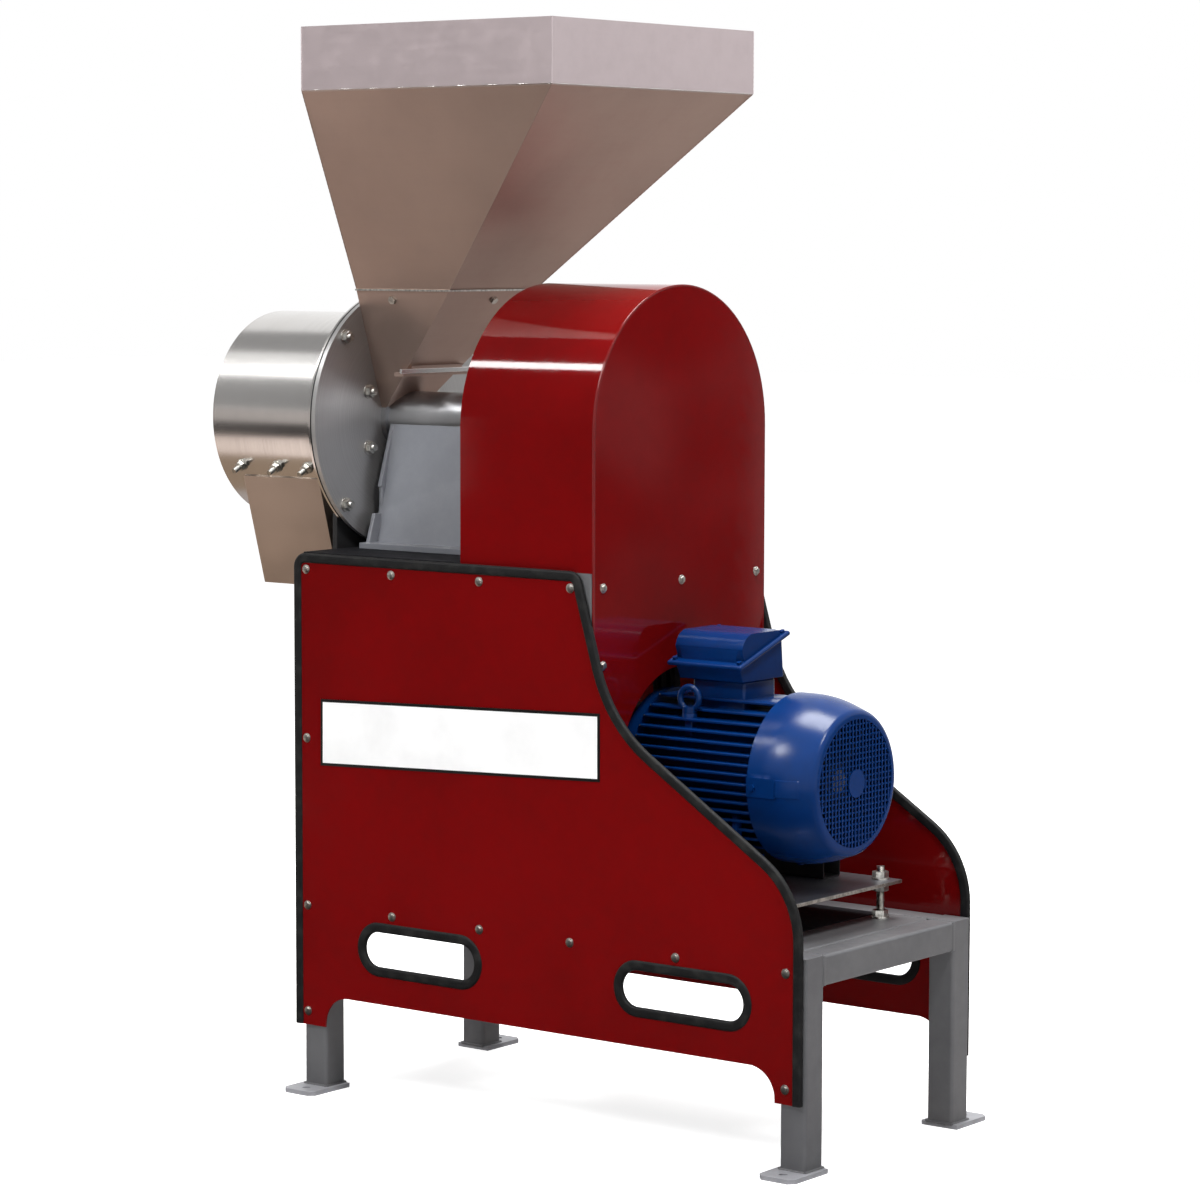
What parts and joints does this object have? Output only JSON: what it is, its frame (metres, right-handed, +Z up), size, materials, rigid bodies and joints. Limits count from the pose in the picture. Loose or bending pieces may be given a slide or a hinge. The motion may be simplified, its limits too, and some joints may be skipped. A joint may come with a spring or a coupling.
{
  "type": "grain mill",
  "caption": "Belt-driven hammer mill on a tube stand: funnel hopper with slide gate, round drum over a discharge chute, guarded belt drive and electric motor between swept side panels.",
  "frame": {"origin": "floor level, at the centre of the four foot bolt holes", "axes": "+X from the grinding drum towards the motor, +Z up, the panel with the name plate on -Y"},
  "size_m": [1.331, 0.58, 1.833],
  "materials": {
    "frame_grey": "satin grey paint",
    "red_paint": "gloss red paint",
    "edge_rubber": "matt black",
    "zinc": "bright zinc",
    "pedestal_grey": "satin grey paint",
    "machined_steel": "turned",
    "drum_stainless": "brushed",
    "black_paint": "satin black paint",
    "hopper_stainless": "brushed, dull",
    "hard_steel": "ground",
    "pulley_iron": "machined cast iron",
    "belt_rubber": "matt black",
    "plate_grey": "dark bare steel plate",
    "motor_blue": "satin blue paint",
    "eye_steel": "blue paint over forged steel",
    "fan_plastic": "matt black"
  },
  "bodies": {
    "frame": {"mill_end_legs": "frame_grey", "motor_end_legs": "frame_grey", "mid_uprights": "frame_grey", "deck_side_rails": "frame_grey", "deck_cross_rails": "frame_grey", "motor_end_cross_rails": "frame_grey", "top_side_rails": "frame_grey", "top_cross_rails": "frame_grey", "foot_plates": "frame_grey", "mill_deck": "frame_grey", "side_panel_near": "red_paint", "side_panel_far": "red_paint", "edge_trim_near": "edge_rubber", "edge_trim_far": "edge_rubber", "slot_trims": "edge_rubber", "panel_screws": "zinc", "bearing_pedestal": "pedestal_grey", "spindle_housing": "machined_steel", "spindle_bearings": "machined_steel", "bearing_cap": "machined_steel", "chamber_back_plate": "drum_stainless", "back_plate_bolts": "zinc", "wear_plate": "hard_steel", "drum_shell": "drum_stainless", "drum_end_cover": "drum_stainless", "sieve": "drum_stainless", "discharge_chute": "drum_stainless", "chute_studs": "zinc", "drum_support": "black_paint", "hopper": "hopper_stainless", "hopper_spout": "hopper_stainless", "hopper_bolts": "zinc", "gate_guides": "hopper_stainless", "belt_guard": "red_paint", "guard_screws": "zinc", "drive_belts": "belt_rubber", "tension_studs": "zinc"},
    "gate": {"feed_gate": "hopper_stainless"},
    "mill_rotor": {"mill_shaft": "machined_steel", "beater_rotor": "hard_steel", "rotor_nut": "zinc", "mill_pulley": "pulley_iron"},
    "motor_carriage": {"motor_plate": "plate_grey", "motor_risers": "black_paint", "motor_frame": "motor_blue", "drive_end_shield": "motor_blue", "rear_end_shield": "motor_blue", "motor_bearings": "machined_steel", "fan_cover": "motor_blue", "fan_grille": "motor_blue", "fan_cover_screws": "zinc", "terminal_box": "motor_blue", "terminal_lid": "motor_blue", "lid_screws": "zinc", "lifting_eye": "eye_steel", "motor_bolts": "zinc", "tension_nuts": "zinc"},
    "motor_rotor": {"motor_shaft": "machined_steel", "cooling_fan": "fan_plastic", "motor_pulley": "pulley_iron"}
  },
  "joints": [
    {"name": "gate_slide", "type": "slide", "parent": "frame", "child": "gate", "axis": [1, 0, 0], "range_m": [0, 0.065]},
    {"name": "mill_spin", "type": "hinge", "parent": "frame", "child": "mill_rotor", "pos_m": [-0.3, 0, 1.162], "axis": [1, 0, 0], "continuous": true},
    {"name": "belt_tension", "type": "slide", "parent": "frame", "child": "motor_carriage", "axis": [0, 0, 1], "range_m": [-0.01, 0.015], "deforming": ["drive_belts"]},
    {"name": "motor_spin", "type": "hinge", "parent": "motor_carriage", "child": "motor_rotor", "pos_m": [0.2, 0, 0.597], "axis": [1, 0, 0], "continuous": true}
  ],
  "couplings": [
    {"joint": "motor_spin", "follows": "mill_spin", "ratio": 0.625}
  ]
}
